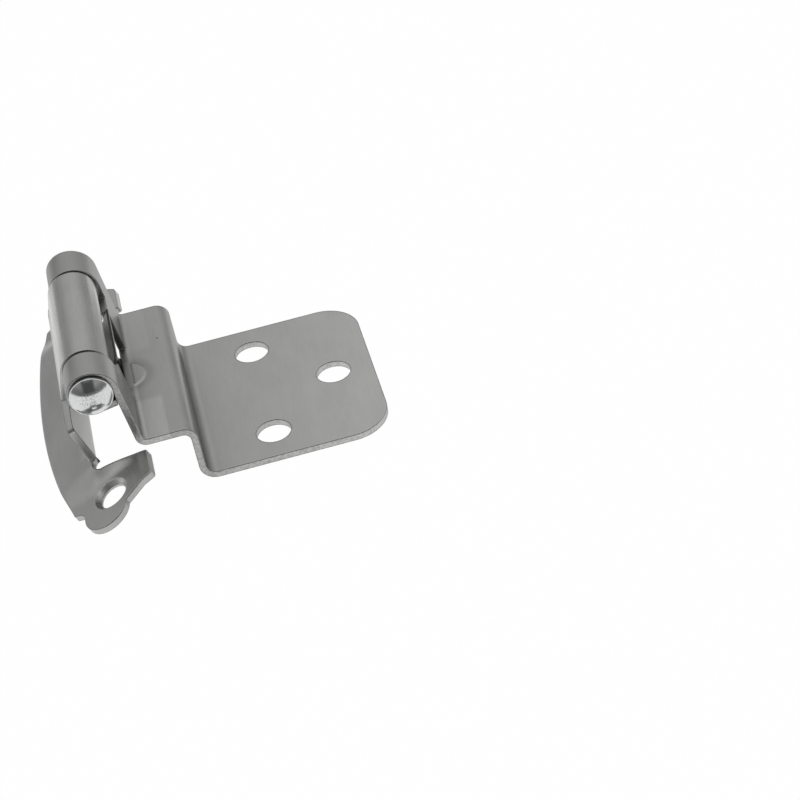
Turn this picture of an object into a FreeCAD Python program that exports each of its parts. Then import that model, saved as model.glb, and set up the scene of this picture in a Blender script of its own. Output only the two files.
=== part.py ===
import FreeCAD, Part
import math
import os

from FreeCAD import Vector

# Cranked cabinet hinge: two pressed sheet-steel wings, a headed pin and a leaf spring.
# Millimetres. +Z is up out of the screw plate, +Y runs along the pin, +X points from the
# barrel to the free end of the screw plate. The origin is midway between the two inner
# screw holes of the screw plate, on its upper face.

# Sheet and barrel
SHEET = 1.25                # thickness of both wings
PIN_RADIUS = 2.9            # shank of the pin
PIN_CLEARANCE = 0.06        # radial running clearance in every knuckle
PIN_TO_SCREWS = 28.5        # pin axis to the inner pair of screw holes, along X
PIN_HEIGHT = 22.85          # pin axis above the screw plate's upper face
ROLL_END_ANGLE = 280.0      # where the rolled sheet stops curling, from +X over the top
ROLL_END_GAP = 0.12         # free end of a roll to the sheet that it closes on
KNUCKLE_SPLIT = 12.9        # half the distance between the two seams of the barrel
SEAM_GAP = 0.5              # width of each seam

# Door wing, the cranked one
DOOR_HALF_WIDTH = 19.9
LEG_SLOPE = 6.9             # lean of the leg from vertical, degrees
LEG_SWELL = 0.6             # how much wider the roll is where it leaves the leg
TREAD_HEIGHT = 10.75        # upper face of the tread above the screw plate
RISER_TO_SCREWS = 13.67     # mid-plane of the riser to the inner pair of screw holes
LEG_BEND = 0.85             # inner radii of the four bends
TREAD_BEND = 1.35
PLATE_BEND = 1.9
PLATE_END = 20.83           # free end of the screw plate beyond the inner pair of holes
PLATE_CORNER = 7.2
SCREW_SPACING = 25.4        # inner pair of screw holes
SCREW_OFFSET = 13.47        # third hole beyond the inner pair
SCREW_HOLE = 6.4
NOTCH_DROP = 3.05           # bottom of the notch for the centre knuckle, below the pin axis
WINDOW_HALF_WIDTH = 8.5
WINDOW_SILL = 0.15          # lower edge of the window in the leg, above the tread's face
STAKE_RADIUS = 4.05         # round stake on the tread that traps the spring's foot
STAKE_RISE = 0.2
STAKE_FLANK = 0.4           # width of its sloping edge
STAKE_TO_PIN = 5.2          # its centre beyond the pin axis; the window cuts it off

# Frame wing, the crowned one: u runs outward from the pin, v along its face's normal
FRAME_SCREW_SPACING = 57.15
FRAME_SCREW_U = 6.78
FRAME_SCREW_HOLE = 5.0
DIMPLE_DIAMETER = 6.6       # rim of the countersink round each frame screw hole
REST_DROOP = 22.85          # how far past closed the spring holds it
WING_LEVEL = 13.2           # pin axis to the face of lobes and ears
TONGUE_NORMAL = 35.0        # lean of the tongue's outer face, degrees
TONGUE_SWELL = 0.33         # how much wider the roll is where it leaves the tongue
WING_RISER_U = 7.85         # outer face of the riser at its upper end
WING_RISER_LEAN = 5.0       # lean of the riser from the wing's normal, degrees
SCREW_TO_SLOT = 6.325       # screw hole to the slot between the ear and the riser's end
SLOT_WIDTH = 2.5
SLOT_BOTTOM = 8.4
EAR_TAPER = 0.35            # how much the slot widens towards the ear's tip
SHOULDER_LEVEL = 3.9        # shoulders below the pin axis, at the outer ends
SHOULDER_RISE = 1.2         # how much higher the shoulders are beside the tongue
SHOULDER_ROUND = 0.9        # their outer corners
SHOULDER_LEAD = 1.2         # steeper stretch of the shoulders right beside the tongue
SHOULDER_LEAD_RISE = 0.4
SHOULDER_BEND = 1.5         # inner radius, tongue to riser
CROWN_BEND = 0.9            # inner radius, riser to crown
CROWN_BEND_LIFT = 0.12      # the bend starts this much proud of the crown, so its fillet meets it
CROWN_TAIL = 1.8            # straight end of the bend, which sinks into the crown
CROWN_TAIL_SLOPE = 17.4     # its slope, degrees
CROWN_HEIGHT = 1.98         # crown above the lobes at the riser
CROWN_FALL = 1.5            # drop of the crown from the riser to the rim
RAMP_WIDTH = 7.5            # the crown's slope down to the lobes
SLOT_SPREAD = 3.5           # beside the slots it is as wide as they are and widens over this
CROWN_ROWS = 8              # points across and along the crown's face
CROWN_COLUMNS = 40
RIM_REACH = 17.95           # outer edge of the crescent at its middle
RIM_RADIUS = 117.0
RIM_TO_SCREWS = 0.075       # short of the screw holes by this, the rim turns in towards the lobe
RIM_STEP_U = 1.1            # first stretch of that turn
RIM_STEP_Y = 0.6
RIM_ROUND = 0.5
NECK_PAST_SCREWS = 1.425    # hollow corner between the crescent and the lobe
NECK_ROUND = 0.8
LOBE_RADIUS = 4.2           # round end of each lobe
LOBE_U = 8.35               # centre of that round end
LOBE_PAST_SCREWS = 3.175
LOBE_BACK = 0.65            # beyond its centre by this, the ear's slanted edge meets it
EAR_REACH = 1.3             # ears pass the pin axis by this much
EAR_PAST_SCREWS = 0.425     # outer corner of the ear
EAR_INNER_ROUND = 0.5
EAR_OUTER_ROUND = 0.9
EAR_CREASE = 0.65
EAR_SLOPE = 15.0
EAR_BEND = 0.9              # mid-line radius of that crease

# Pin heads
HEAD_RADIUS = 3.75
HEAD_RIM = 0.5              # thickness of the head's edge
HEAD_LIP = 0.12             # flat ring between that edge and the dome
HEAD_RISE = 1.75            # height of the dome
HEAD_GAP = 0.25             # head to knuckle

# Closing spring
SPRING_SHEET = 0.55
SPRING_HALF_WIDTH = 7.7
SPRING_TOP_DROP = 2.25      # upper edge below the pin axis
SPRING_TO_PIN = 5.2         # mid-plane of the leaf's upper edge beyond the pin axis
SPRING_WAIST = 3.6          # there the leaf bows in under the barrel
SPRING_WAIST_DROP = 6.0
SPRING_BOW = 1.2            # mid-line radius of that bow
SPRING_HEEL = 4.4           # start of the foot beyond the pin axis
SPRING_HEEL_BEND = 0.9
SPRING_FOOT_END = 12.2      # end of the foot beyond the pin axis
SPRING_SEAT = 0.03          # foot to the tread's underside

# Worked out
BORE = PIN_RADIUS + PIN_CLEARANCE
EYE = BORE + SHEET
CENTRE_HALF = KNUCKLE_SPLIT - SEAM_GAP / 2
OUTER_START = KNUCKLE_SPLIT + SEAM_GAP / 2
FRAME_SCREW_Y = FRAME_SCREW_SPACING / 2
EAR_INNER_Y = FRAME_SCREW_Y - SCREW_TO_SLOT
EAR_OUTER_Y = FRAME_SCREW_Y + EAR_PAST_SCREWS
RISER_HALF_WIDTH = EAR_INNER_Y - SLOT_WIDTH
NECK_Y = FRAME_SCREW_Y + NECK_PAST_SCREWS
LOBE_Y = FRAME_SCREW_Y + LOBE_PAST_SCREWS
RIM_END_Y = FRAME_SCREW_Y - RIM_TO_SCREWS
CROWN_START = WING_RISER_U - SHEET / 2
BIG = 200.0


def polar(angle, radius=1.0):
    """Vector in the XZ plane at an angle from +X towards +Z, in degrees."""
    turn = math.radians(angle)
    return Vector(radius * math.cos(turn), 0, radius * math.sin(turn))


def side_normal(start, end):
    """Unit normal on the left of the way from start to end, in the XZ plane."""
    way = (end - start).normalize()
    return Vector(-way.z, 0, way.x)


def line_step(start, end):
    """A straight stretch of a sheet's mid-line."""
    return {"start": start, "end": end, "middle": (start + end) / 2,
            "normals": [side_normal(start, end)] * 3}


def arc_step(centre, radius, first, last):
    """A bent stretch of a sheet's mid-line: an arc from one angle to another."""
    turn = 1.0 if last > first else -1.0
    angles = [first, last, (first + last) / 2]
    points = [centre + polar(angle, radius) for angle in angles]
    normals = [polar(angle, -turn) for angle in angles]
    return {"start": points[0], "end": points[1], "middle": points[2],
            "normals": normals, "arc": True}


def side_edge(step, offset):
    """The edge of the sheet's face that runs beside one stretch of its mid-line."""
    start = step["start"] + step["normals"][0] * offset
    end = step["end"] + step["normals"][1] * offset
    if "arc" not in step:
        return Part.LineSegment(start, end).toShape()
    middle = step["middle"] + step["normals"][2] * offset
    return Part.Arc(start, middle, end).toShape()


def bent_route(points, radii):
    """Mid-line through corner points, each inner corner bent to its radius."""
    steps = []
    start = points[0]
    for i, radius in enumerate(radii):
        corner = points[i + 1]
        back = (points[i] - corner).normalize()
        ahead = (points[i + 2] - corner).normalize()
        half = back.getAngle(ahead) / 2
        reach = radius / math.tan(half)
        centre = corner + (back + ahead).normalize() * (radius / math.sin(half))
        enter = corner + back * reach
        leave = corner + ahead * reach
        first = math.degrees(math.atan2(enter.z - centre.z, enter.x - centre.x))
        last = math.degrees(math.atan2(leave.z - centre.z, leave.x - centre.x))
        swing = (last - first + 180.0) % 360.0 - 180.0
        steps.append(line_step(start, enter))
        steps.append(arc_step(centre, radius, first, first + swing))
        start = leave
    steps.append(line_step(start, points[-1]))
    return steps


def sheet_face(steps, thickness):
    """Section of a bent sheet: its mid-line thickened to both sides."""
    half = thickness / 2
    left = [side_edge(step, half) for step in steps]
    right = [side_edge(step, -half) for step in steps]
    first, last = steps[0], steps[-1]
    ends = [Part.LineSegment(first["start"] + first["normals"][0] * half,
                             first["start"] - first["normals"][0] * half).toShape(),
            Part.LineSegment(last["end"] + last["normals"][1] * half,
                             last["end"] - last["normals"][1] * half).toShape()]
    edges = Part.__sortEdges__(left + right + ends)
    return Part.Face(Part.Wire(edges))


def slab(face, low_y, high_y):
    """A section in the XZ plane made solid from one Y to another."""
    raised = face.translated(Vector(0, low_y, 0))
    return raised.extrude(Vector(0, high_y - low_y, 0))


def rolled_eye(neck_angle, neck_swell):
    """Mid-line of a knuckle about the pin: its free end, the roll and the wider neck.

    The neck angle is that of the normal of the sheet where it leaves the knuckle, and the
    swell says how much farther from the pin the sheet is there than in the roll.
    """
    mid = BORE + SHEET / 2
    top = neck_angle + 80.0
    end = ROLL_END_ANGLE + neck_angle - LEG_SLOPE
    swell = neck_swell / (1.0 - math.cos(math.radians(80.0)))
    shift = polar(top, -swell)
    neck = arc_step(shift, mid + swell, neck_angle, top)
    roll = arc_step(Vector(0, 0, 0), mid, top, end)
    neck_point = neck["start"]
    heading = polar(end + 90.0)
    sheet_normal = polar(neck_angle)
    wall = (neck_point - roll["end"]).dot(sheet_normal)
    reach = (wall - SHEET / 2 - ROLL_END_GAP) / heading.dot(sheet_normal)
    tail = line_step(roll["end"], roll["end"] + heading * reach)
    return neck_point, [neck, roll, tail]


def reversed_steps(steps):
    """The same mid-line walked the other way."""
    turned = []
    for step in reversed(steps):
        normals = step["normals"]
        flipped = dict(step)
        flipped["start"] = step["end"]
        flipped["end"] = step["start"]
        flipped["normals"] = [normals[1] * -1, normals[0] * -1, normals[2] * -1]
        turned.append(flipped)
    return turned


def block(low, high):
    """A box between two corners."""
    size = Vector(*high) - Vector(*low)
    return Part.makeBox(size.x, size.y, size.z, Vector(*low))


def rounded_face(points, lift):
    """Flat outline through (x, y, radius) corners, each rounded to its radius."""
    corners = [Vector(x, y, lift) for x, y, radius in points]
    edges = []
    starts = []
    ends = []
    middles = []
    count = len(points)
    for i in range(count):
        corner = corners[i]
        back = (corners[i - 1] - corner).normalize()
        ahead = (corners[(i + 1) % count] - corner).normalize()
        radius = points[i][2]
        half = back.getAngle(ahead) / 2
        if radius == 0:
            starts.append(corner)
            ends.append(corner)
            middles.append(None)
            continue
        reach = radius / math.tan(half)
        inward = (back + ahead).normalize()
        starts.append(corner + back * reach)
        ends.append(corner + ahead * reach)
        middles.append(corner + inward * (radius / math.sin(half) - radius))
    for i in range(count):
        if middles[i] is not None:
            edges.append(Part.Arc(starts[i], middles[i], ends[i]).toShape())
        edges.append(Part.LineSegment(ends[i], starts[(i + 1) % count]).toShape())
    return Part.Face(Part.Wire(edges))


def door_section():
    """Mid-lines of an outer knuckle and of the crank below it, about the pin axis."""
    neck, eye = rolled_eye(LEG_SLOPE, LEG_SWELL)
    down = polar(LEG_SLOPE - 90.0)
    tread_z = TREAD_HEIGHT - SHEET / 2 - PIN_HEIGHT
    plate_z = -SHEET / 2 - PIN_HEIGHT
    riser_x = PIN_TO_SCREWS - RISER_TO_SCREWS
    leg_foot = neck + down * ((tread_z - neck.z) / down.z)
    points = [neck, leg_foot, Vector(riser_x, 0, tread_z), Vector(riser_x, 0, plate_z),
              Vector(PIN_TO_SCREWS + PLATE_END, 0, plate_z)]
    radii = [bend + SHEET / 2 for bend in (LEG_BEND, TREAD_BEND, PLATE_BEND)]
    return eye, bent_route(points, radii)


def plate_outline():
    """Prism that rounds the two free corners of the screw plate."""
    far = PIN_TO_SCREWS + PLATE_END
    half = DOOR_HALF_WIDTH
    points = [(-BIG, -half, 0), (far, -half, PLATE_CORNER), (far, half, PLATE_CORNER), (-BIG, half, 0)]
    return rounded_face(points, -BIG).extrude(Vector(0, 0, 2 * BIG))


def screw_hole_tools():
    """The three holes through the screw plate."""
    places = [(0, SCREW_SPACING / 2), (0, -SCREW_SPACING / 2), (SCREW_OFFSET, 0)]
    low = -PIN_HEIGHT - 2 * SHEET
    tools = []
    for along, across in places:
        foot = Vector(PIN_TO_SCREWS + along, across, low)
        tools.append(Part.makeCylinder(SCREW_HOLE / 2, 4 * SHEET, foot))
    return tools


def leg_face(height):
    """X of the leg's outer face at a height, both from the pin axis."""
    lean = math.radians(LEG_SLOPE)
    return (EYE + LEG_SWELL - height * math.sin(lean)) / math.cos(lean)


def stake(low_z, height):
    """Boss or pocket of the stake, up to the leg's outer face, with a sloping edge on top."""
    disc = Part.makeCylinder(STAKE_RADIUS, height - STAKE_RISE, Vector(STAKE_TO_PIN, 0, low_z))
    crown = Part.makeCone(STAKE_RADIUS, STAKE_RADIUS - STAKE_FLANK, STAKE_RISE,
                          Vector(STAKE_TO_PIN, 0, low_z + height - STAKE_RISE))
    near_x = leg_face(low_z + height)
    return disc.fuse(crown).common(block((near_x, -BIG, low_z - 1), (BIG, BIG, low_z + height + 1)))


def door_wing():
    """The cranked wing: screw plate, riser, tread, leg with window, two knuckles."""
    eye, crank = door_section()
    leg_only = sheet_face(crank, SHEET)
    with_knuckle = sheet_face(reversed_steps(eye) + crank, SHEET)
    tread_z = TREAD_HEIGHT - PIN_HEIGHT
    wing = slab(leg_only, -OUTER_START, OUTER_START)
    wing = wing.cut(block((-BIG, -OUTER_START, -NOTCH_DROP), (BIG, OUTER_START, BIG)))
    wing = wing.fuse([slab(with_knuckle, OUTER_START, DOOR_HALF_WIDTH),
                      slab(with_knuckle, -DOOR_HALF_WIDTH, -OUTER_START)])
    wing = wing.common(plate_outline())
    wing = wing.fuse(stake(tread_z - SHEET / 2, SHEET / 2 + STAKE_RISE))
    wing = wing.cut(stake(tread_z - SHEET - 1, 1 + STAKE_RISE))
    floor_z = tread_z + WINDOW_SILL
    window_end = leg_face(floor_z) + LEG_BEND / 2
    window = block((0, -WINDOW_HALF_WIDTH, floor_z), (window_end, WINDOW_HALF_WIDTH, 1 - NOTCH_DROP))
    for tool in [window] + screw_hole_tools():
        wing = wing.cut(tool)
    return wing.removeSplitter()


def smooth_step(share):
    """S-curve from 0 to 1 that starts and ends level and without a jump in curvature."""
    share = max(0.0, min(1.0, share))
    return share ** 3 * (10.0 - 15.0 * share + 6.0 * share * share)


def crown_lift(u, y):
    """Height of the crown above the lobes.

    It is level as far out as the riser reaches and falls in an S-curve to the lobes, at
    once beside the slots; along u it falls in a shallow convex curve to the rim.
    """
    along = (u - WING_RISER_U) / (RIM_REACH - WING_RISER_U)
    fall = CROWN_FALL * (0.7 * along + 0.3 * along * along)
    ramp = SLOT_WIDTH + (RAMP_WIDTH - SLOT_WIDTH) * smooth_step((u - CROWN_START) / SLOT_SPREAD)
    share = (RISER_HALF_WIDTH + ramp - abs(y)) / ramp
    return (CROWN_HEIGHT - fall) * smooth_step(share)


def crown_sheet():
    """The crown before trimming: a smooth face from riser to rim, thickened to the sheet."""
    outer = RIM_REACH + 1.5
    edge = RISER_HALF_WIDTH + RAMP_WIDTH
    rows = []
    for i in range(CROWN_ROWS + 1):
        u = CROWN_START + (outer - CROWN_START) * i / CROWN_ROWS
        ys = [edge * (2.0 * j / CROWN_COLUMNS - 1.0) for j in range(CROWN_COLUMNS + 1)]
        rows.append([Vector(-u, y, crown_lift(u, y) - WING_LEVEL) for y in ys])
    surface = Part.BSplineSurface()
    surface.interpolate(rows)
    return surface.toShape().extrude(Vector(0, 0, -SHEET))


def flat_sheets():
    """Lobes and ears before trimming: flat sheet, bent back where the ears pass their crease."""
    mid = -WING_LEVEL - SHEET / 2
    past = EAR_REACH + EAR_CREASE + 2.0
    tip = Vector(EAR_CREASE, 0, mid) + polar(180.0 + EAR_SLOPE, past)
    points = [tip, Vector(EAR_CREASE, 0, mid), Vector(LOBE_U + LOBE_RADIUS + 4.0, 0, mid)]
    face = mirrored_u(sheet_face(bent_route(points, [EAR_BEND]), SHEET))
    edge = RISER_HALF_WIDTH + RAMP_WIDTH
    beyond = LOBE_Y + LOBE_RADIUS + 1.0
    near = EAR_INNER_Y - 1.0
    sheets = []
    for side in (1, -1):
        low, high = sorted([side * edge, side * beyond])
        sheets.append(slab(face, low, high))
        low, high = sorted([side * near, side * edge])
        sheets.append(slab(face, low, high).common(block((-CROWN_START, -BIG, -BIG), (BIG, BIG, BIG))))
    return sheets


def wing_outline():
    """Prism of the frame wing's plate: crescent, lobes, ears and slots."""
    root = WING_RISER_U + 1.0
    lobe_reach = LOBE_U + LOBE_RADIUS
    beyond = 7
    rim_end = RIM_REACH - RIM_RADIUS + math.sqrt(RIM_RADIUS ** 2 - RIM_END_Y ** 2)
    half = [(root, 0, 0), (root, RISER_HALF_WIDTH, 0), (CROWN_START, RISER_HALF_WIDTH, 0),
            (CROWN_START, EAR_INNER_Y, 0), (-EAR_REACH, EAR_INNER_Y + EAR_TAPER, EAR_INNER_ROUND),
            (-EAR_REACH, EAR_OUTER_Y, EAR_OUTER_ROUND), (LOBE_U - LOBE_RADIUS, LOBE_Y + LOBE_BACK, 0),
            (LOBE_U, LOBE_Y, 0), (lobe_reach, LOBE_Y, 0), (lobe_reach, NECK_Y, NECK_ROUND),
            (rim_end - RIM_STEP_U, RIM_END_Y + RIM_STEP_Y, RIM_ROUND),
            (rim_end + beyond * RIM_STEP_U, RIM_END_Y - beyond * RIM_STEP_Y, 0)]
    whole = half + [(u, -y, radius) for u, y, radius in reversed(half[1:])]
    points = [(-u, y, radius) for u, y, radius in whole]
    prism = rounded_face(points, -BIG).extrude(Vector(0, 0, 2 * BIG))
    for side in (1, -1):
        prism = prism.fuse(Part.makeCylinder(LOBE_RADIUS, 2 * BIG, Vector(-LOBE_U, side * LOBE_Y, -BIG)))
    rim = Part.makeCylinder(RIM_RADIUS, 2 * BIG, Vector(RIM_RADIUS - RIM_REACH, 0, -BIG))
    return prism.common(rim)


def tongue_route():
    """Mid-lines of the centre knuckle and of the sheet from there down to the crown."""
    neck, eye = rolled_eye(TONGUE_NORMAL, TONGUE_SWELL)
    down = polar(TONGUE_NORMAL - 90.0)
    lean = math.tan(math.radians(WING_RISER_LEAN))
    riser_mid = WING_RISER_U - SHEET / 2
    bend = neck + down * ((riser_mid - neck.x) / down.x)
    foot_v = -WING_LEVEL + CROWN_HEIGHT - SHEET / 2 + CROWN_BEND_LIFT
    foot = Vector(riser_mid + (bend.z - foot_v) * lean, 0, foot_v)
    tip = foot + polar(-CROWN_TAIL_SLOPE, CROWN_TAIL)
    radii = [SHOULDER_BEND + SHEET / 2, CROWN_BEND + SHEET / 2]
    return eye, bent_route([neck, bend, foot, tip], radii)


def mirrored_u(shape):
    """Turn a section drawn with u to the right into the wing's place, u towards -X."""
    return shape.mirror(Vector(0, 0, 0), Vector(1, 0, 0))


def shoulder_tool():
    """Prism that keeps the riser below its sloping shoulders."""
    outer = RISER_HALF_WIDTH
    inner_v = -SHOULDER_LEVEL + SHOULDER_RISE
    lead = CENTRE_HALF + SHOULDER_LEAD
    lead_v = inner_v + SHOULDER_LEAD_RISE
    points = [(-outer, -BIG, 0), (outer, -BIG, 0), (outer, -SHOULDER_LEVEL, SHOULDER_ROUND), (lead, inner_v, 0),
              (CENTRE_HALF, lead_v, 0), (-CENTRE_HALF, lead_v, 0), (-lead, inner_v, 0),
              (-outer, -SHOULDER_LEVEL, SHOULDER_ROUND)]
    prism = rounded_face(points, -BIG).extrude(Vector(0, 0, 2 * BIG))
    prism.rotate(Vector(0, 0, 0), Vector(1, 0, 0), 90)
    prism.rotate(Vector(0, 0, 0), Vector(0, 0, 1), 90)
    return prism


def slot_tools():
    """Round-bottomed slots between the riser's ends and the ears."""
    radius = SLOT_WIDTH / 2
    tools = []
    for side in (1, -1):
        middle = side * (RISER_HALF_WIDTH + radius)
        points = [(-SLOT_BOTTOM, middle - radius, radius - 0.01), (BIG, middle - radius, 0),
                  (BIG, middle + radius, 0), (-SLOT_BOTTOM, middle + radius, radius - 0.01)]
        tools.append(rounded_face(points, -BIG).extrude(Vector(0, 0, 2 * BIG)))
    return tools


def frame_screw_tools():
    """Dimpled screw holes of the frame wing: a straight hole that opens in a 45 degree cone."""
    hole = FRAME_SCREW_HOLE / 2
    rim = DIMPLE_DIAMETER / 2
    above = 1.0
    profile = [(0, -2 * SHEET), (hole, -2 * SHEET), (hole, hole - rim), (rim + above, above), (0, above), (0, -2 * SHEET)]
    wire = Part.makePolygon([Vector(radius, 0, level) for radius, level in profile])
    tool = Part.Face(wire).revolve(Vector(0, 0, 0), Vector(0, 0, 1), 360)
    places = [Vector(-FRAME_SCREW_U, side * FRAME_SCREW_Y, -WING_LEVEL) for side in (1, -1)]
    return [tool.translated(place) for place in places]


def frame_wing():
    """The crowned wing, built closed and then dropped to where the spring holds it."""
    eye, route = tongue_route()
    wing = slab(mirrored_u(sheet_face(reversed_steps(eye) + route, SHEET)), -CENTRE_HALF, CENTRE_HALF)
    riser = mirrored_u(sheet_face(route, SHEET))
    for side in (1, -1):
        near, far = sorted([side * CENTRE_HALF, side * RISER_HALF_WIDTH])
        wing = wing.fuse(slab(riser, near, far).common(shoulder_tool()))
    outline = wing_outline()
    wing = wing.fuse([sheet.common(outline) for sheet in [crown_sheet()] + flat_sheets()])
    for tool in slot_tools() + frame_screw_tools():
        wing = wing.cut(tool)
    wing = wing.removeSplitter()
    wing.rotate(Vector(0, 0, 0), Vector(0, 1, 0), -REST_DROOP)
    return wing


def dome(rim, tip_y):
    """Arc from a rim point to the axis, centred on the axis so that it turns into a ball cap."""
    rise = abs(tip_y - rim.y)
    radius = (rim.x ** 2 + rise ** 2) / (2 * rise)
    side = 1 if tip_y > 0 else -1
    centre = Vector(0, tip_y - side * radius, 0)
    spread = math.asin(rim.x / radius)
    if side > 0:
        circle = Part.Circle(centre, Vector(0, 0, 1), radius)
        return Part.ArcOfCircle(circle, math.pi / 2 - spread, math.pi / 2)
    circle = Part.Circle(centre, Vector(0, 0, 1), radius)
    return Part.ArcOfCircle(circle, -math.pi / 2, spread - math.pi / 2)


def head_profile(side):
    """Edges of one head from the shank out to its middle, in the XY plane."""
    def at(radius, y):
        return Vector(radius, side * y, 0)

    face_y = DOOR_HALF_WIDTH + HEAD_GAP
    rim_y = face_y + HEAD_RIM
    tip_y = rim_y + HEAD_RISE
    dome_radius = HEAD_RADIUS - HEAD_LIP
    curves = [Part.LineSegment(at(0, 0), at(PIN_RADIUS, 0)),
              Part.LineSegment(at(PIN_RADIUS, 0), at(PIN_RADIUS, face_y)),
              Part.LineSegment(at(PIN_RADIUS, face_y), at(HEAD_RADIUS, face_y)),
              Part.LineSegment(at(HEAD_RADIUS, face_y), at(HEAD_RADIUS, rim_y)),
              Part.LineSegment(at(HEAD_RADIUS, rim_y), at(dome_radius, rim_y)),
              dome(at(dome_radius, rim_y), side * tip_y),
              Part.LineSegment(at(0, tip_y), at(0, 0))]
    return [curve.toShape() for curve in curves]


def hinge_pin():
    """Turned pin with a domed head at each end."""
    halves = []
    for side in (1, -1):
        face = Part.Face(Part.Wire(Part.__sortEdges__(head_profile(side))))
        halves.append(face.revolve(Vector(0, 0, 0), Vector(0, 1, 0), 360))
    return halves[0].fuse(halves[1]).removeSplitter()


def closing_spring():
    """Leaf spring: it stands in the window, bows in under the barrel and lies under the tread."""
    half = SPRING_SHEET / 2
    foot_z = TREAD_HEIGHT - SHEET - PIN_HEIGHT - SPRING_SEAT - half
    points = [Vector(SPRING_TO_PIN, 0, -SPRING_TOP_DROP), Vector(SPRING_WAIST, 0, -SPRING_WAIST_DROP),
              Vector(SPRING_HEEL, 0, foot_z), Vector(SPRING_FOOT_END, 0, foot_z)]
    leaf = sheet_face(bent_route(points, [SPRING_BOW, SPRING_HEEL_BEND]), SPRING_SHEET)
    return slab(leaf, -SPRING_HALF_WIDTH, SPRING_HALF_WIDTH)


def placed(shape):
    """Move a shape built about the pin axis to the row's origin."""
    shape.translate(Vector(-PIN_TO_SCREWS, 0, PIN_HEIGHT))
    return shape


os.makedirs("parts", exist_ok=True)
for name, build in [("door_wing", door_wing), ("frame_wing", frame_wing),
                    ("hinge_pin", hinge_pin), ("closing_spring", closing_spring)]:
    solid = placed(build())
    box = solid.BoundBox
    print(name, solid.isValid(), len(solid.Solids), round(solid.Volume, 1),
          [round(value, 2) for value in (box.XMin, box.XMax, box.YMin, box.YMax, box.ZMin, box.ZMax)])
    solid.exportStep("parts/" + name + ".step")
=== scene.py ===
"""Looks of a cranked cabinet hinge: satin nickel on pressed steel, lit on a plain pale table.

The pieces come ready made in one frame, in metres: +Z out of the screw plate, +Y along the
pin, +X from the barrel to the plate's free end. This file gives them their finish, sets a
table, a studio sky and a camera, and moves nothing.
"""
import math

import bmesh
import bpy
import numpy as np
from mathutils import Euler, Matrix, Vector


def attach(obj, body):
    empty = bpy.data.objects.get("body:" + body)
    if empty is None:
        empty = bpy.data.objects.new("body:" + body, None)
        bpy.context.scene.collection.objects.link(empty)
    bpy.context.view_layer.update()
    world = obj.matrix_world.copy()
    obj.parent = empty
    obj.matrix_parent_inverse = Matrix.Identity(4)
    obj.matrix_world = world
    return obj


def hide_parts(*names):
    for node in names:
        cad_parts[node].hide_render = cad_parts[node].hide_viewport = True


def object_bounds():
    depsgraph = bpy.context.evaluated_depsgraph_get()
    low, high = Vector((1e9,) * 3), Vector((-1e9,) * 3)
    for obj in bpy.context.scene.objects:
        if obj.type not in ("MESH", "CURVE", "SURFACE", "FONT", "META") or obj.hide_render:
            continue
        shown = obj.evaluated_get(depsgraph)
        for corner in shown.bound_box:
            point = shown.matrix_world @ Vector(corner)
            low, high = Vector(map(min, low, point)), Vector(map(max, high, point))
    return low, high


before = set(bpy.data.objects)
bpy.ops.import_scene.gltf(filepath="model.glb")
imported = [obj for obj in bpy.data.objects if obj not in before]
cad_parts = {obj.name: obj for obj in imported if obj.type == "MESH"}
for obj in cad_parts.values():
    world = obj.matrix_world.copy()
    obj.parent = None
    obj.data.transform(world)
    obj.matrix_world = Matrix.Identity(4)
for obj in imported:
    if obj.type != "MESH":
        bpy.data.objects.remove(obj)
START_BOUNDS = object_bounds()

bl_info = {
    "name": "Cranked Hinge Finish",
    "version": (1, 0, 0),
    "blender": (4, 2, 0),
    "location": "View3D > Sidebar > Hinge",
    "description": "Finishes a cranked cabinet hinge in satin nickel and sets its studio",
    "category": "Object",
}

MM = 0.001
PIN_AXIS = (-28.5 * MM, 0.0, 22.85 * MM)
DROOP = math.radians(22.85)     # the frame wing rests this far past closed
OUTWARD = np.array((-math.cos(DROOP), 0.0, -math.sin(DROOP)))   # its two axes: u, away from the pin
UPWARD = np.array((-math.sin(DROOP), 0.0, math.cos(DROOP)))     # and v, along its face's normal
FRAME_PIXELS = 800          # side of the square picture
SENSOR = 36.0               # camera sensor, mm


def linear(hex_colour):
    """An sRGB hex colour as linear RGBA: each channel's curve undone below and above its toe."""
    channels = np.array([int(hex_colour[i:i + 2], 16) for i in (1, 3, 5)]) / 255.0
    curved = np.where(channels <= 0.04045, channels / 12.92, ((channels + 0.055) / 1.055) ** 2.4)
    return (*curved.tolist(), 1.0)


def add(tree, kind, at=(0, 0), inputs=None, links=None, **settings):
    """Adds one node: its settings as attributes, its inputs by name, and links from (node, socket)."""
    node = tree.nodes.new(kind)
    node.location = at
    for name, value in settings.items():
        setattr(node, name, value)
    for name, value in (inputs or {}).items():
        node.inputs[name].default_value = value
    for name, (source, socket) in (links or {}).items():
        tree.links.new(source.outputs[socket], node.inputs[name])
    return node


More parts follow.
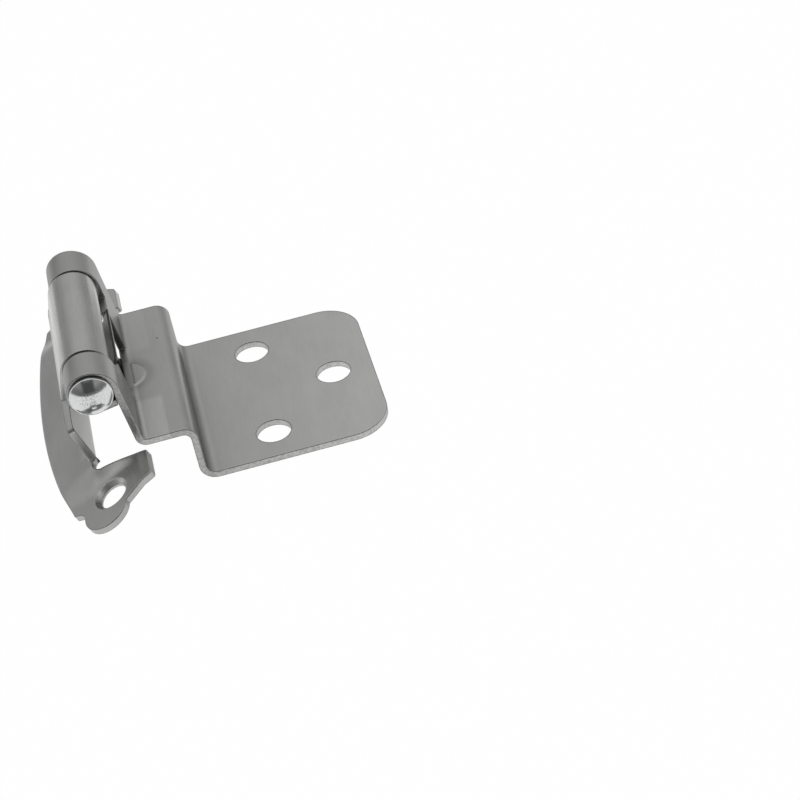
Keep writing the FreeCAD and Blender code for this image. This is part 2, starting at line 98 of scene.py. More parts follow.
class HingeFinish(bpy.types.PropertyGroup):
    """Colours and surface sizes of the hinge's metal."""
    satin: bpy.props.StringProperty(
        name="Satin nickel", description="Colour of the wings' nickel plate, sRGB hex", default="#B9BAB8")
    polished: bpy.props.StringProperty(
        name="Polished nickel", description="Colour of the pin's nickel plate, sRGB hex", default="#D6D8D7")
    leaf: bpy.props.StringProperty(
        name="Spring leaf", description="Colour of the oiled spring steel, sRGB hex", default="#3A3836")
    leaf_edge: bpy.props.StringProperty(
        name="Spring edge", description="Colour of the spring's sheared edges, sRGB hex", default="#B4B2AC")
    satin_roughness: bpy.props.FloatProperty(
        name="Satin roughness", description="Roughness of the wings' plate", default=0.38, min=0.05, max=1.0)
    rolled_roughness: bpy.props.FloatProperty(
        name="Rolled roughness", description="Roughness of the centre knuckle, burnished by the rolling die",
        default=0.25, min=0.05, max=1.0)
    polished_roughness: bpy.props.FloatProperty(
        name="Polished roughness", description="Roughness of the pin heads", default=0.12, min=0.02, max=1.0)
    cloud_size: bpy.props.FloatProperty(
        name="Cloud size", description="Width of the plate's faint cloudy patches", default=6.0 * MM,
        min=0.5 * MM, max=50 * MM, subtype="DISTANCE", unit="LENGTH")
    grain_size: bpy.props.FloatProperty(
        name="Grain size", description="Spacing of the rolled sheet's grain, coarser than real so that it shows",
        default=0.35 * MM, min=0.05 * MM, max=5 * MM, subtype="DISTANCE", unit="LENGTH")
    edge_round: bpy.props.FloatProperty(
        name="Edge round", description="Radius of the punched edges", default=0.42 * MM,
        min=0.0, max=1 * MM, subtype="DISTANCE", unit="LENGTH")


class WingShape(bpy.types.PropertyGroup):
    """Sizes of the frame wing's drawn crown, as the solid has them, and its gentler run-out."""
    sheet: bpy.props.FloatProperty(
        name="Sheet", description="Thickness of the sheet", default=1.25 * MM, subtype="DISTANCE", unit="LENGTH")
    wing_level: bpy.props.FloatProperty(
        name="Wing level", description="Pin axis to the face of lobes and ears", default=13.2 * MM,
        subtype="DISTANCE", unit="LENGTH")
    riser_u: bpy.props.FloatProperty(
        name="Riser", description="Outer face of the riser from the pin", default=7.85 * MM,
        subtype="DISTANCE", unit="LENGTH")
    riser_half: bpy.props.FloatProperty(
        name="Riser half width", description="End of the riser from the middle", default=19.75 * MM,
        subtype="DISTANCE", unit="LENGTH")
    rim_u: bpy.props.FloatProperty(
        name="Rim", description="Outer edge of the crescent from the pin", default=17.95 * MM,
        subtype="DISTANCE", unit="LENGTH")
    crown_rise: bpy.props.FloatProperty(
        name="Crown rise", description="Crown above the lobes at the riser", default=1.98 * MM,
        subtype="DISTANCE", unit="LENGTH")
    crown_fall: bpy.props.FloatProperty(
        name="Crown fall", description="Drop of the crown from the riser to the rim", default=1.5 * MM,
        subtype="DISTANCE", unit="LENGTH")
    slot_width: bpy.props.FloatProperty(
        name="Solid ramp", description="Width of the solid's ramp beside the slots", default=2.5 * MM,
        subtype="DISTANCE", unit="LENGTH")
    slot_ramp: bpy.props.FloatProperty(
        name="Ramp", description="Width of the gentler ramp beside the slots", default=5.75 * MM,
        subtype="DISTANCE", unit="LENGTH")
    ramp_width: bpy.props.FloatProperty(
        name="Outer ramp", description="Width of the ramp farther out", default=7.5 * MM,
        subtype="DISTANCE", unit="LENGTH")
    crease_u: bpy.props.FloatProperty(
        name="Crease", description="Crease of the ears from the pin, where the ramp ends", default=0.65 * MM,
        subtype="DISTANCE", unit="LENGTH")
    screw_u: bpy.props.FloatProperty(
        name="Screw hole", description="Screw holes from the pin", default=6.78 * MM,
        subtype="DISTANCE", unit="LENGTH")
    screw_y: bpy.props.FloatProperty(
        name="Screw hole along", description="Screw holes from the middle, along the pin", default=28.575 * MM,
        subtype="DISTANCE", unit="LENGTH")
    dimple: bpy.props.FloatProperty(
        name="Dimple", description="Rim of the countersink", default=6.6 * MM, subtype="DISTANCE", unit="LENGTH")


class HingeStage(bpy.types.PropertyGroup):
    """Camera, table and sky."""
    eye: bpy.props.FloatVectorProperty(
        name="Camera", description="Where the camera stands", size=3,
        default=(-4.81 * MM, -327.23 * MM, 239.33 * MM), subtype="XYZ_LENGTH", unit="LENGTH")
    turn: bpy.props.FloatVectorProperty(
        name="Camera turn", description="Camera rotation, XYZ Euler", size=3,
        default=tuple(math.radians(a) for a in (52.187, 9.330, -12.276)), subtype="EULER", unit="ROTATION")
    focal_pixels: bpy.props.FloatProperty(
        name="Focal length in pixels", description="Focal length as a share of the picture's pixels",
        default=2209.0, min=100.0)
    table: bpy.props.StringProperty(
        name="Table", description="Colour of the table, sRGB hex", default="#FFFFFF")
    table_plain: bpy.props.FloatProperty(
        name="Plain share", description="How much of the table is plain white; the rest keeps the hinge's shadow",
        default=0.99, min=0.0, max=1.0)
    sky_low: bpy.props.FloatProperty(
        name="Low sky", description="Brightness of the studio's walls", default=0.40, min=0.0)
    sky_middle: bpy.props.FloatProperty(
        name="Middle sky", description="Brightness of the studio above the walls", default=0.70, min=0.0)
    sky_top: bpy.props.FloatProperty(
        name="Top sky", description="Brightness of the broad light overhead", default=1.4, min=0.0)
    card: bpy.props.FloatProperty(
        name="Dark card", description="Brightness of the dark card round the camera", default=0.08, min=0.0)


def window(tree, source, socket, low, high, soft, at):
    """A share that is 1 where a value lies between two bounds and fades to 0 beyond them."""
    rise = add(tree, "ShaderNodeMapRange", at, {"From Min": low - soft, "From Max": low + soft},
               {"Value": (source, socket)}, interpolation_type="SMOOTHSTEP")
    fall = add(tree, "ShaderNodeMapRange", (at[0], at[1] - 250),
               {"From Min": high - soft, "From Max": high + soft, "To Min": 1.0, "To Max": 0.0},
               {"Value": (source, socket)}, interpolation_type="SMOOTHSTEP")
    return add(tree, "ShaderNodeMath", (at[0] + 200, at[1]), operation="MULTIPLY",
               links={0: (rise, 0), 1: (fall, 0)})


def multiplied(tree, values, at):
    """Product of several nodes' first outputs, two at a time."""
    result = values[0]
    for index, value in enumerate(values[1:]):
        result = add(tree, "ShaderNodeMath", (at[0] + 150 * index, at[1]), operation="MULTIPLY",
                     links={0: (result, 0), 1: (value, 0)})
    return result


def near(tree, place, centre, radius, fade, low, high, at):
    """Passes from one value inside a radius about a point to another a little outside it."""
    reach = add(tree, "ShaderNodeVectorMath", at, {1: centre}, {0: (place, "Object")}, operation="DISTANCE")
    return add(tree, "ShaderNodeMapRange", (at[0] + 200, at[1]),
               {"From Min": radius, "From Max": radius + fade, "To Min": low, "To Max": high},
               {"Value": (reach, "Value")}, interpolation_type="SMOOTHSTEP")


def painted_edge_shade(tree, at):
    """Painted shade: the dark line where a punched edge rolls into the face, as a share of the plate's tone."""
    true = add(tree, "ShaderNodeNewGeometry", at)
    border = add(tree, "ShaderNodeBevel", (at[0], at[1] - 250), {"Radius": 0.45 * MM}, samples=8)
    turned = add(tree, "ShaderNodeVectorMath", (at[0] + 200, at[1]), operation="DOT_PRODUCT",
                 links={0: (true, "Normal"), 1: (border, "Normal")})
    return add(tree, "ShaderNodeMapRange", (at[0] + 400, at[1]),
               {"From Min": 0.74, "From Max": 0.97, "To Min": 0.5, "To Max": 1.0},
               {"Value": (turned, "Value")}, interpolation_type="SMOOTHSTEP")


def satin_nickel(name, look, marks_and_painted_light, rolled=None, grazing=1.0):
    """Dull nickel plate on cold-rolled steel sheet, tumbled before plating.

    To the eye: a soft grey sheen with no sharp mirror image, faintly cloudy patches, fine
    lines along the sheet's grain, and punched edges with a rounded, light-catching border and
    a thin dark line of painted shade. The grazing share dims what the plate mirrors at flat angles.
    """
    material = bpy.data.materials.new(name)
    material.use_nodes = True
    tree = material.node_tree
    tree.nodes.clear()
    place = add(tree, "ShaderNodeTexCoord", (-2000, 0))
    drawn = add(tree, "ShaderNodeMapping", (-1800, 300), {"Scale": (1.0, 0.45, 1.0)}, {"Vector": (place, "Object")})
    clouds = add(tree, "ShaderNodeTexNoise", (-1600, 300),
                 {"Scale": 1.0 / look.cloud_size, "Detail": 5.0, "Roughness": 0.6}, {"Vector": (drawn, "Vector")})
    stretch = add(tree, "ShaderNodeMapping", (-1800, -300), {"Scale": (1.0, 0.09, 1.0)}, {"Vector": (place, "Object")})
    fine = add(tree, "ShaderNodeTexNoise", (-1600, -300),
               {"Scale": 1.0 / look.grain_size, "Detail": 3.0, "Roughness": 0.6}, {"Vector": (stretch, "Vector")})
    tone = add(tree, "ShaderNodeMapRange", (-1400, 300),
               {"From Min": 0.3, "From Max": 0.7, "To Min": 0.91, "To Max": 1.05}, {"Value": (clouds, "Fac")})
    lines = add(tree, "ShaderNodeMapRange", (-1400, 50),
                {"From Min": 0.3, "From Max": 0.7, "To Min": 0.97, "To Max": 1.03}, {"Value": (fine, "Fac")})
    # The edge share is painted shade along the punched edges; the wing's tones add further painted light and shade.
    edge = painted_edge_shade(tree, (-1600, 600))
    shade = multiplied(tree, [tone, lines, edge, *marks_and_painted_light(tree, place)], (-900, 400))
    tint = add(tree, "ShaderNodeVectorMath", (-300, 250), {0: linear(look.satin)[:3]}, {"Scale": (shade, 0)},
               operation="SCALE")
    spread = add(tree, "ShaderNodeMapRange", (-1400, -550),
                 {"From Min": 0.3, "From Max": 0.7, "To Min": look.satin_roughness - 0.05,
                  "To Max": look.satin_roughness + 0.06}, {"Value": (clouds, "Fac")})
    if rolled:
        spread = rolled(tree, place, spread)
    border = add(tree, "ShaderNodeBevel", (-600, -400), {"Radius": look.edge_round}, samples=8)
    relief = add(tree, "ShaderNodeBump", (-300, -300), {"Strength": 0.06, "Distance": 0.02 * MM},
                 {"Height": (fine, "Fac"), "Normal": (border, "Normal")})
    shader = add(tree, "ShaderNodeBsdfPrincipled", (0, 0),
                 {"Metallic": 1.0, "Specular Tint": (grazing, grazing, grazing, 1.0)},
                 {"Base Color": (tint, "Vector"), "Roughness": (spread, 0), "Normal": (relief, "Normal")})
    add(tree, "ShaderNodeOutputMaterial", (300, 0), links={"Surface": (shader, "BSDF")})
    return material


def patch(tree, axes, across, along, value, at):
    """A tone over a rectangle of X and Y, soft at its border."""
    width = window(tree, axes, "X", *across, 0.3 * MM, at)
    length = window(tree, axes, "Y", *along, 0.8 * MM, (at[0], at[1] + 500))
    share = multiplied(tree, [width, length], (at[0] + 400, at[1]))
    return add(tree, "ShaderNodeMapRange", (at[0] + 600, at[1]), {"To Min": 1.0, "To Max": value},
               {"Value": (share, 0)})


def torn_metal(tree, place, at):
    """Mottled tone of the sheet's sheared ends, the faces that look along the pin."""
    facing = add(tree, "ShaderNodeSeparateXYZ", at, links={"Vector": (place, "Normal")})
    along = add(tree, "ShaderNodeMath", (at[0] + 200, at[1]), links={0: (facing, "Y")}, operation="ABSOLUTE")
    share = add(tree, "ShaderNodeMapRange", (at[0] + 400, at[1]), {"From Min": 0.75, "From Max": 0.95},
                {"Value": (along, 0)}, interpolation_type="SMOOTHSTEP")
    grains = add(tree, "ShaderNodeTexNoise", (at[0], at[1] - 300),
                 {"Scale": 1.0 / (0.5 * MM), "Detail": 4.0, "Roughness": 0.65}, {"Vector": (place, "Object")})
    mottle = add(tree, "ShaderNodeMapRange", (at[0] + 400, at[1] - 300),
                 {"From Min": 0.35, "From Max": 0.65, "To Min": 0.72, "To Max": 1.08}, {"Value": (grains, "Fac")})
    return add(tree, "ShaderNodeMix", (at[0] + 700, at[1]), {2: 1.0}, {0: (share, 0), 3: (mottle, 0)},
               data_type="FLOAT")


def door_marks_and_painted_light(tree, place):
    """Tones of the cranked wing: painted light toward its free end, painted shade in the bend and round the stake.

    The tread has two lighter patches at the leg's side of its two ends.
    """
    torn = torn_metal(tree, place, (-1800, 5400))
    axes = add(tree, "ShaderNodeSeparateXYZ", (-1800, 900), links={"Vector": (place, "Object")})
    # Painted light: the plate's tone goes from darker near the pin to brighter at its free end.
    ends = add(tree, "ShaderNodeMapRange", (-1500, 900),
               {"From Min": -22 * MM, "From Max": 20 * MM, "To Min": 0.90, "To Max": 1.18}, {"Value": (axes, "X")})
    # Painted shade in the bend at the riser's foot.
    bend = window(tree, axes, "X", -13.0 * MM, -12.0 * MM, 0.5 * MM, (-1500, 1300))
    painted_shade_factor = add(tree, "ShaderNodeMapRange", (-1100, 1300), {"To Min": 1.0, "To Max": 0.80}, {"Value": (bend, 0)})
    # Painted shade: a soft darker band just outside the stake, as if the plate about it were dished.
    stake = (-23.3 * MM, 0.0, 10.9 * MM)
    inside = near(tree, place, stake, 4.0 * MM, 0.12 * MM, 1.0, 0.0, (-1500, 1700))
    outside = near(tree, place, stake, 4.2 * MM, 2.2 * MM, 0.80, 1.0, (-1500, 2000))
    painted_stake_shade = add(tree, "ShaderNodeMath", (-1000, 1800), operation="MAXIMUM", links={0: (inside, 0), 1: (outside, 0)})
    nick = near(tree, place, (-16.15 * MM, 9.3 * MM, 10.75 * MM), 0.12 * MM, 0.22 * MM, 0.45, 1.0, (-1500, 2300))
    pit = near(tree, place, (-22.41 * MM, -7.13 * MM, 10.75 * MM), 0.1 * MM, 0.2 * MM, 0.5, 1.0, (-1500, 2600))
    lighter_tread_patch = patch(tree, axes, (-22.8 * MM, -17.6 * MM), (-21 * MM, -8.5 * MM), 1.22, (-1500, 3000))
    faint = patch(tree, axes, (-22.8 * MM, -17.7 * MM), (7 * MM, 21 * MM), 1.07, (-1500, 4200))
    return [ends, painted_shade_factor, painted_stake_shade, nick, pit, lighter_tread_patch, faint, torn]


def frame_painted_light_and_shade(tree, place):
    """Tones of the crowned wing: painted shade on the knuckle's inner flank, and a painted highlight over the nearer
    of the two ears.
    """
    facing = add(tree, "ShaderNodeSeparateXYZ", (-1800, 900), links={"Vector": (place, "Normal")})
    spot = add(tree, "ShaderNodeSeparateXYZ", (-1800, 1200), links={"Vector": (place, "Object")})
    # Painted shade on the knuckle's inner flank, high up and strongest toward the near end.
    flank = add(tree, "ShaderNodeMapRange", (-1500, 900), {"From Min": 0.6, "From Max": 0.88},
                {"Value": (facing, "X")}, interpolation_type="SMOOTHSTEP")
    nearer = add(tree, "ShaderNodeMapRange", (-1500, 1200),
                 {"From Min": -4 * MM, "From Max": 12 * MM, "To Min": 1.0, "To Max": 0.35}, {"Value": (spot, "Y")})
    high = add(tree, "ShaderNodeMapRange", (-1500, 700), {"From Min": 16 * MM, "From Max": 19 * MM},
               {"Value": (spot, "Z")}, interpolation_type="SMOOTHSTEP")
    share = multiplied(tree, [flank, nearer, high], (-1200, 1000))
    painted_shade_factor = add(tree, "ShaderNodeMapRange", (-1000, 1000), {"To Min": 1.0, "To Max": 0.4}, {"Value": (share, 0)})
    # Painted highlight lightening the nearer of the two ears.
    painted_ear_highlight = near(tree, place, (-25.6 * MM, -25.5 * MM, 10.2 * MM), 2.6 * MM, 3.5 * MM, 1.35, 1.0, (-1500, 1500))
    return [painted_shade_factor, painted_ear_highlight]


def from_pin(tree, place, at):
    """How far a point is from the pin's axis."""
    flat = add(tree, "ShaderNodeVectorMath", at, {1: (1.0, 0.0, 1.0)}, {0: (place, "Object")}, operation="MULTIPLY")
    return add(tree, "ShaderNodeVectorMath", (at[0] + 200, at[1]), {1: PIN_AXIS}, {0: (flat, "Vector")},
               operation="DISTANCE")


def burnished_roll(look):
    """The centre knuckle's roughness: smooth and streaked near the pin, the plate's own elsewhere."""
    def rolled(tree, place, spread):
        reach = from_pin(tree, place, (-1200, -900))
        share = add(tree, "ShaderNodeMapRange", (-800, -900),
                    {"From Min": 4.7 * MM, "From Max": 6.2 * MM, "To Min": 1.0, "To Max": 0.0},
                    {"Value": (reach, "Value")}, interpolation_type="SMOOTHSTEP")
        drawn = add(tree, "ShaderNodeMapping", (-1600, -1200), {"Scale": (1.0, 0.07, 1.0)},
                    {"Vector": (place, "Object")})
        wide = add(tree, "ShaderNodeTexNoise", (-1400, -1200),
                   {"Scale": 1.0 / (1.6 * MM), "Detail": 3.0, "Roughness": 0.65}, {"Vector": (drawn, "Vector")})
        streaks = add(tree, "ShaderNodeMapRange", (-1000, -1200),
                      {"From Min": 0.3, "From Max": 0.7, "To Min": look.rolled_roughness - 0.07,
                       "To Max": look.rolled_roughness + 0.12}, {"Value": (wide, "Fac")})
        return add(tree, "ShaderNodeMix", (-500, -800), links={0: (share, 0), 2: (spread, 0), 3: (streaks, 0)},
                   data_type="FLOAT")
    return rolled


def dark_spring_steel(name, look):
    """Hardened strip, nearly black, with bright edges where it was sheared.

    To the eye: nearly black faces with a soft gleam, and a thin light line along the edges.
    """
    material = bpy.data.materials.new(name)
    material.use_nodes = True
    tree = material.node_tree
    tree.nodes.clear()
    place = add(tree, "ShaderNodeTexCoord", (-1200, 0))
    axes = add(tree, "ShaderNodeSeparateXYZ", (-1000, 200), links={"Vector": (place, "Normal")})
    spot = add(tree, "ShaderNodeSeparateXYZ", (-1000, -100), links={"Vector": (place, "Object")})
    upward = add(tree, "ShaderNodeMath", (-800, 200), {1: 0.8}, {0: (axes, "Z")}, operation="GREATER_THAN")
    outer = add(tree, "ShaderNodeMath", (-800, 0), {1: -23.18 * MM}, {0: (spot, "X")}, operation="GREATER_THAN")
    high = add(tree, "ShaderNodeMath", (-800, -200), {1: 19.0 * MM}, {0: (spot, "Z")}, operation="GREATER_THAN")
    top = multiplied(tree, [upward, outer, high], (-600, 100))
    across = add(tree, "ShaderNodeMath", (-800, 400), links={0: (axes, "Y")}, operation="ABSOLUTE")
    side = add(tree, "ShaderNodeMath", (-600, 400), {1: 0.8}, {0: (across, 0)}, operation="GREATER_THAN")
    sheared = add(tree, "ShaderNodeMath", (-400, 200), operation="MAXIMUM", links={0: (top, 0), 1: (side, 0)})
    tint = add(tree, "ShaderNodeMix", (-200, 200), links={0: (sheared, 0)}, data_type="RGBA")
    tint.inputs[6].default_value = linear(look.leaf)
    tint.inputs[7].default_value = linear(look.leaf_edge)
    shader = add(tree, "ShaderNodeBsdfPrincipled", (50, 0), {"Metallic": 1.0, "Roughness": 0.32},
                 {"Base Color": (tint, 2)})
    add(tree, "ShaderNodeOutputMaterial", (350, 0), links={"Surface": (shader, "BSDF")})
    return material


def polished_nickel(name, look):
    """Bright nickel plate on a headed pin, dented by the heading tool, most in the middle.

    To the eye: clear reflections that ripple, soft from handling.
    """
    material = bpy.data.materials.new(name)
    material.use_nodes = True
    tree = material.node_tree
    tree.nodes.clear()
    place = add(tree, "ShaderNodeTexCoord", (-900, 0))
    dents = add(tree, "ShaderNodeTexNoise", (-700, -200), {"Scale": 1.0 / (0.7 * MM), "Detail": 5.0, "Roughness": 0.7},
                {"Vector": (place, "Object")})
    reach = from_pin(tree, place, (-1300, -500))
    middle = add(tree, "ShaderNodeMapRange", (-900, -500),
                 {"From Min": 0.7 * MM, "From Max": 2.6 * MM, "To Min": 0.7, "To Max": 0.08},
                 {"Value": (reach, "Value")})
    chips = add(tree, "ShaderNodeTexNoise", (-900, -800), {"Scale": 1.0 / (0.3 * MM), "Detail": 3.0},
                {"Vector": (place, "Object")})
    chipped = add(tree, "ShaderNodeMath", (-650, -600), links={0: (chips, "Fac"), 1: (middle, 0), 2: (dents, "Fac")},
                  operation="MULTIPLY_ADD")
    relief = add(tree, "ShaderNodeBump", (-400, -200), {"Strength": 0.2, "Distance": 0.05 * MM},
                 {"Height": (chipped, 0)})
    spread = add(tree, "ShaderNodeMapRange", (-400, 100),
                 {"From Min": 0.35, "From Max": 0.65, "To Min": look.polished_roughness - 0.03,
                  "To Max": look.polished_roughness + 0.12}, {"Value": (dents, "Fac")})
    specks = add(tree, "ShaderNodeMapRange", (-650, 300),
                 {"From Min": 0.47, "From Max": 0.66, "To Min": 0.0, "To Max": 0.7}, {"Value": (chips, "Fac")})
    stain = multiplied(tree, [specks, middle], (-450, 300))
    clean = add(tree, "ShaderNodeMath", (-250, 450), {0: 1.0}, {1: (stain, 0)}, operation="SUBTRACT")
    tint = add(tree, "ShaderNodeVectorMath", (-150, 250), {0: linear(look.polished)[:3]}, {"Scale": (clean, 0)},
               operation="SCALE")
    shader = add(tree, "ShaderNodeBsdfPrincipled", (0, 0), {"Metallic": 1.0},
                 {"Base Color": (tint, "Vector"), "Roughness": (spread, 0), "Normal": (relief, "Normal")})
    add(tree, "ShaderNodeOutputMaterial", (300, 0), links={"Surface": (shader, "BSDF")})
    return material


def crown_height(u, y, look, ramp, start):
    """Height of the drawn crown above the lobes, all lengths in metres.

    It falls in a shallow convex curve from the riser to the rim. Along the pin it is level as
    far as the riser reaches and falls in a smooth S-curve over the ramp's width; over the ears
    it dies away in a quarter wave to their crease.
    """
    along = np.clip((u - look.riser_u) / (look.rim_u - look.riser_u), 0.0, None)
    height = look.crown_rise - look.crown_fall * (0.7 * along + 0.3 * along ** 2)
    share = np.clip((look.riser_half + ramp - np.abs(y)) / ramp, 0.0, 1.0)
    fade = np.sin(np.pi / 2 * np.clip((u - start) / (look.riser_u - start), 0.0, 1.0))
    return height * fade * s_curve(share)


def s_curve(share):
    """From 0 to 1, level at both ends and without a jump in curvature."""
    return share ** 3 * (10.0 - 15.0 * share + 6.0 * share ** 2)


def spread_ramp(u, look, narrow, wide):
    """Width of the crown's ramp: one value beside the slots, widening outward to another."""
    return narrow + (wide - narrow) * s_curve(np.clip((u - look.riser_u + 0.625 * MM) / (3.5 * MM), 0.0, 1.0))


def refined_copy(node, limit):
    """The solid's mesh, merged, with the long edges of its two ends halved until they are short.

    It gives the points, how far each looks along the wing's own upward axis, and the faces.
    """
    mesh = bmesh.new()
    mesh.from_mesh(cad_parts[node].data)
    bmesh.ops.remove_doubles(mesh, verts=mesh.verts, dist=1e-6)
    for _ in range(5):
        long = []
        for edge in mesh.edges:
            middle = (edge.verts[0].co + edge.verts[1].co) / 2 - Vector(PIN_AXIS)
            rise = abs((edge.verts[0].co - edge.verts[1].co).dot(Vector(UPWARD)))
            outside = abs(middle.y) > 18 * MM and middle.dot(Vector(UPWARD)) < -9.5 * MM
            length = edge.calc_length()
            if outside and length > limit and rise < 0.6 * length:
                long.append(edge)
        bmesh.ops.subdivide_edges(mesh, edges=long, cuts=1)
        bmesh.ops.triangulate(mesh, faces=mesh.faces)
    mesh.normal_update()
    points = np.array([vertex.co[:] for vertex in mesh.verts])
    facing = np.array([vertex.normal[:] for vertex in mesh.verts]) @ UPWARD
    faces = [[vertex.index for vertex in face.verts] for face in mesh.faces]
    mesh.free()
    return points, facing, faces


def drawn_plate(look):
    """The frame wing with the crown's true run-out over its ears and lobes.

    The solid's ramp is steep beside the slots. Here each point of the two ends keeps its depth
    in the sheet and takes the height of the gentler crown, which also lifts the ears' roots.
    """
    points, facing, faces = refined_copy("frame_wing", 0.7 * MM)
    place = points - np.array(PIN_AXIS)
    u, y, v = place @ OUTWARD, place[:, 1], place @ UPWARD
    level = -look.wing_level
    side = np.sign(y)
    solid_ramp = spread_ramp(u, look, look.slot_width, look.ramp_width)
    solid = np.where(u >= look.riser_u - 0.64 * MM, crown_height(u, y, look, solid_ramp, -1.0), 0.0)
    depth = v - level - solid
    ends = (np.abs(y) > look.riser_half + 0.01 * MM) & (v < -9.5 * MM)
    depth = np.where(facing > 0.3, 0.0, np.where(facing < -0.3, -look.sheet, depth))
    depth = np.where(u < look.crease_u + 0.4 * MM, v - level, depth)
    off_u, off_y = u - look.screw_u, y - side * look.screw_y
    reach = np.hypot(off_u, off_y)
    cone = reach - look.dimple / 2
    sunk = (cone < -0.03 * MM) & (v - level > -0.85 * MM)
    depth = np.where(sunk, v - level, depth)
    brim = (np.abs(v - level - cone) < 0.1 * MM) & (cone > -0.03 * MM) & (reach < 5 * MM) & (facing > 0.3)
    shrink = np.where(brim, look.dimple / 2 / np.maximum(reach, MM), 1.0)
    depth = np.where(brim, 0.0, depth)
    u = look.screw_u + off_u * shrink
    y = side * look.screw_y + off_y * shrink
    ramp = spread_ramp(u, look, look.slot_ramp, look.ramp_width)
    v = np.where(ends, level + crown_height(u, y, look, ramp, look.crease_u) + depth, v)
    ends_only = ends[:, None]
    moved = np.array(PIN_AXIS) + u[:, None] * OUTWARD + v[:, None] * UPWARD + np.outer(y, (0.0, 1.0, 0.0))
    moved = np.where(ends_only, moved, points)
    mesh = bpy.data.meshes.new("frame_wing_drawn")
    mesh.from_pydata(moved.tolist(), [], faces)
    mesh.shade_smooth()
    mesh.set_sharp_from_angle(angle=math.radians(28))
    wing = bpy.data.objects.new("frame_wing_drawn", mesh)
    bpy.context.collection.objects.link(wing)
    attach(wing, "frame_side")
    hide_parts("frame_wing")
    return wing


def give(node, material):
    """Puts one material on every slot of a piece."""
    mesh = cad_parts[node].data
    if not mesh.materials:
        mesh.materials.append(material)
    for index in range(len(mesh.materials)):
        mesh.materials[index] = material


class HINGE_OT_wings(bpy.types.Operator):
    """Finish both wings in satin nickel"""
    bl_idname = "hinge.wings"
    bl_label = "Finish Wings"

    def execute(self, context):
        look = context.scene.hinge_finish
        give("door_wing", satin_nickel("satin_nickel_on_door_wing", look, door_marks_and_painted_light, grazing=0.7))
        metal = satin_nickel("satin_nickel_on_frame_wing", look, frame_painted_light_and_shade, rolled=burnished_roll(look))
        drawn_plate(context.scene.wing_shape).data.materials.append(metal)
        return {"FINISHED"}


class HINGE_OT_pin(bpy.types.Operator):
    """Finish the pin in polished nickel"""
    bl_idname = "hinge.pin"
    bl_label = "Finish Pin"

    def execute(self, context):
        look = context.scene.hinge_finish
        give("hinge_pin", polished_nickel("polished_nickel_on_steel", look))
        return {"FINISHED"}


class HINGE_OT_spring(bpy.types.Operator):
    """Finish the closing spring"""
    bl_idname = "hinge.spring"
    bl_label = "Finish Spring"

    def execute(self, context):
        look = context.scene.hinge_finish
        give("closing_spring", dark_spring_steel("dark_spring_steel", look))
        return {"FINISHED"}


def table_top(colour, plain):
    """A white table: a square under the hinge, lit, and white to the camera and in mirror images."""
    half = 2.0
    level = START_BOUNDS[0][2] - 0.05 * MM
    corners = np.array([(-half, -half, level), (half, -half, level), (half, half, level), (-half, half, level)])
    mesh = bpy.data.meshes.new("table")
    mesh.from_pydata(corners.tolist(), [], [(0, 1, 2, 3)])
    table = bpy.data.objects.new("table", mesh)
    bpy.context.collection.objects.link(table)
    material = bpy.data.materials.new("white_table")
    material.use_nodes = True
    tree = material.node_tree
    tree.nodes.clear()
    matt = add(tree, "ShaderNodeBsdfDiffuse", (0, 0), {"Color": linear(colour)})
    glow = add(tree, "ShaderNodeEmission", (0, -200), {"Color": linear(colour), "Strength": 1.0})
    rays = add(tree, "ShaderNodeLightPath", (-400, 300))
    mirrored = add(tree, "ShaderNodeMath", (-200, 450), operation="MAXIMUM",
                   links={0: (rays, "Is Camera Ray"), 1: (rays, "Is Glossy Ray")})
    direct = add(tree, "ShaderNodeMath", (0, 450), operation="MAXIMUM",
                 links={0: (mirrored, 0), 1: (rays, "Is Transmission Ray")})
    share = add(tree, "ShaderNodeMath", (0, 300), operation="MULTIPLY", links={0: (direct, 0)})
    share.inputs[1].default_value = plain
    blend = add(tree, "ShaderNodeMixShader", (250, 0), links={0: (share, 0), 1: (matt, 0), 2: (glow, 0)})
    add(tree, "ShaderNodeOutputMaterial", (500, 0), links={"Surface": (blend, 0)})
    mesh.materials.append(material)
    return table


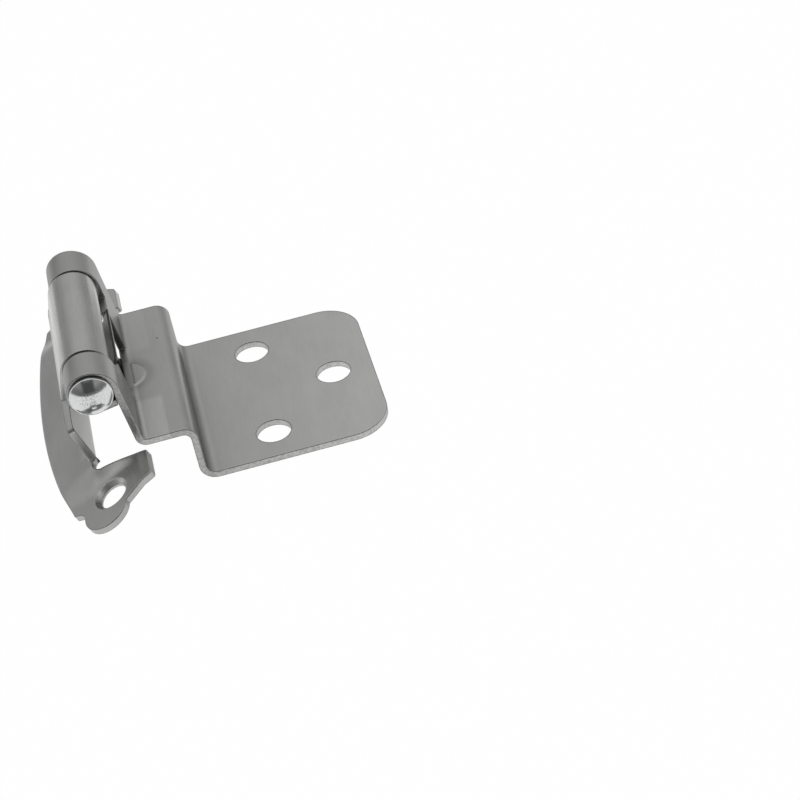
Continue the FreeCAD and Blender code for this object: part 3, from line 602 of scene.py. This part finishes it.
def studio_sky(stage):
    """The studio round the table, by direction alone.

    Dim walls, lighter above them, a broad soft light overhead, everything a little dimmer on
    the camera's side, and there a dark square card that the camera looks through.
    """
    world = bpy.data.worlds.new("studio_sky")
    bpy.context.scene.world = world
    world.use_nodes = True
    tree = world.node_tree
    tree.nodes.clear()
    place = add(tree, "ShaderNodeTexCoord", (-1500, 0))
    axes = add(tree, "ShaderNodeSeparateXYZ", (-1300, 0), links={"Vector": (place, "Generated")})
    ramp = add(tree, "ShaderNodeValToRGB", (-1000, 300), links={"Fac": (axes, "Z")})
    steps = [(0.0, stage.sky_low), (0.3, stage.sky_low), (0.55, stage.sky_middle), (0.93, stage.sky_middle),
             (0.985, stage.sky_top)]
    ramp.color_ramp.elements.remove(ramp.color_ramp.elements[1])
    for index, (position, value) in enumerate(steps):
        element = ramp.color_ramp.elements[0] if index == 0 else ramp.color_ramp.elements.new(position)
        element.position = position
        element.color = (value, value, value, 1.0)
    side = add(tree, "ShaderNodeMapRange", (-1000, 0),
               {"From Min": -0.5, "From Max": 0.3, "To Min": 0.45, "To Max": 1.0},
               {"Value": (axes, "Y")}, interpolation_type="SMOOTHSTEP")
    across = add(tree, "ShaderNodeMapRange", (-1000, 600),
                 {"From Min": -0.6, "From Max": 0.6, "To Min": 0.93, "To Max": 1.06}, {"Value": (axes, "X")})
    lit = multiplied(tree, [ramp, side, across], (-700, 300))
    width = window(tree, axes, "X", -0.45, 0.4, 0.06, (-1000, -300))
    height = window(tree, axes, "Z", 0.2, 0.88, 0.06, (-1000, -800))
    front = add(tree, "ShaderNodeMath", (-700, -900), {1: -0.2}, {0: (axes, "Y")}, operation="LESS_THAN")
    square = add(tree, "ShaderNodeMath", (-500, -500), operation="MULTIPLY", links={0: (width, 0), 1: (height, 0)})
    card = add(tree, "ShaderNodeMath", (-300, -500), operation="MULTIPLY", links={0: (square, 0), 1: (front, 0)})
    shade = add(tree, "ShaderNodeMix", (-100, 100), {"B": stage.card}, {"Factor": (card, 0), "A": (lit, 0)},
                data_type="FLOAT")
    light = add(tree, "ShaderNodeBackground", (150, 100), {"Strength": 1.0}, {"Color": (shade, 0)})
    add(tree, "ShaderNodeOutputWorld", (350, 100), links={"Surface": (light, 0)})


def camera_at(eye, turn, focal_pixels):
    """Camera at the viewing angle of the reference picture."""
    data = bpy.data.cameras.new("camera")
    data.sensor_width = SENSOR
    data.lens = focal_pixels / FRAME_PIXELS * SENSOR
    data.clip_start = 0.01
    camera = bpy.data.objects.new("camera", data)
    bpy.context.collection.objects.link(camera)
    camera.location = Vector(eye)
    camera.rotation_euler = Euler(turn, "XYZ")
    bpy.context.scene.camera = camera


class HINGE_OT_stage(bpy.types.Operator):
    """Set the table, the studio sky and the camera"""
    bl_idname = "hinge.stage"
    bl_label = "Set Stage"

    def execute(self, context):
        stage = context.scene.hinge_stage
        table_top(stage.table, stage.table_plain)
        studio_sky(stage)
        camera_at(stage.eye, stage.turn, stage.focal_pixels)
        context.scene.view_settings.view_transform = "Standard"
        return {"FINISHED"}


class HINGE_PT_panel(bpy.types.Panel):
    """Hinge finish and studio"""
    bl_label = "Cranked Hinge"
    bl_idname = "HINGE_PT_panel"
    bl_space_type = "VIEW_3D"
    bl_region_type = "UI"
    bl_category = "Hinge"

    def draw(self, context):
        for kind in (HINGE_OT_wings, HINGE_OT_pin, HINGE_OT_spring, HINGE_OT_stage):
            self.layout.operator(kind.bl_idname)


CLASSES = (HingeFinish, WingShape, HingeStage, HINGE_OT_wings, HINGE_OT_pin, HINGE_OT_spring, HINGE_OT_stage, HINGE_PT_panel)


def register():
    for kind in CLASSES:
        bpy.utils.register_class(kind)
    bpy.types.Scene.hinge_finish = bpy.props.PointerProperty(type=HingeFinish)
    bpy.types.Scene.wing_shape = bpy.props.PointerProperty(type=WingShape)
    bpy.types.Scene.hinge_stage = bpy.props.PointerProperty(type=HingeStage)


def unregister():
    del bpy.types.Scene.hinge_stage
    del bpy.types.Scene.wing_shape
    del bpy.types.Scene.hinge_finish
    for kind in reversed(CLASSES):
        bpy.utils.unregister_class(kind)


def main():
    register()
    bpy.ops.hinge.wings()
    bpy.ops.hinge.pin()
    bpy.ops.hinge.spring()
    bpy.ops.hinge.stage()


if __name__ == "__main__":
    main()
